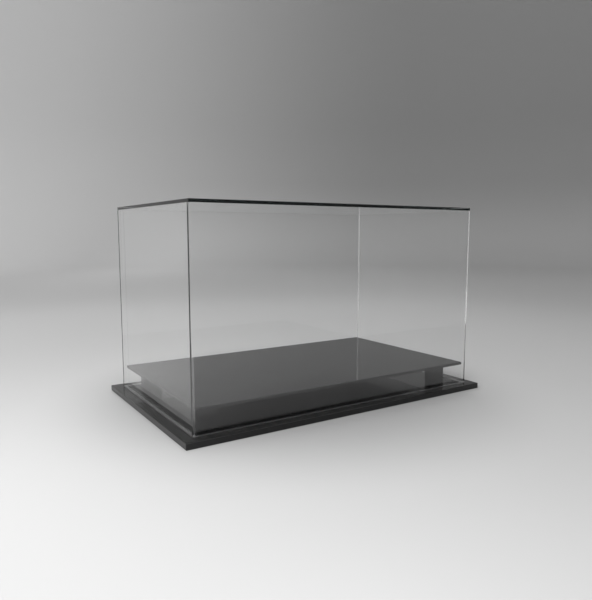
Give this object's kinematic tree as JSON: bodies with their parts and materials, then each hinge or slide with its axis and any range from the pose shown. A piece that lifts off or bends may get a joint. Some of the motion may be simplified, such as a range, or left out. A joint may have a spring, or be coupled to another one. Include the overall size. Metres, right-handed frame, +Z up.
{
  "type": "football display case",
  "caption": "Clear box cover that lifts straight off a glossy black base; a raised shelf on low blocks carries a football boot on show.",
  "frame": {"origin": "on the surface the case stands on, under the middle of the base", "axes": "+X along the long side to the right, -Y towards the front, +Z up, the way the cover lifts off"},
  "size_m": [0.3586, 0.2206, 0.2061],
  "materials": {
    "clear_acrylic": "polished",
    "black_acrylic": "polished"
  },
  "bodies": {
    "base": {"base_plate": "black_acrylic", "display_shelf": "black_acrylic", "shelf_block_front_left": "black_acrylic", "shelf_block_front_right": "black_acrylic", "shelf_block_back_left": "black_acrylic", "shelf_block_back_right": "black_acrylic"},
    "cover": {"cover_top": "clear_acrylic", "cover_front": "clear_acrylic", "cover_back": "clear_acrylic", "cover_left": "clear_acrylic", "cover_right": "clear_acrylic"}
  },
  "joints": [
    {"name": "cover_lift", "type": "slide", "parent": "base", "child": "cover", "axis": [0, 0, 1], "range_m": [0, 0.25]}
  ]
}
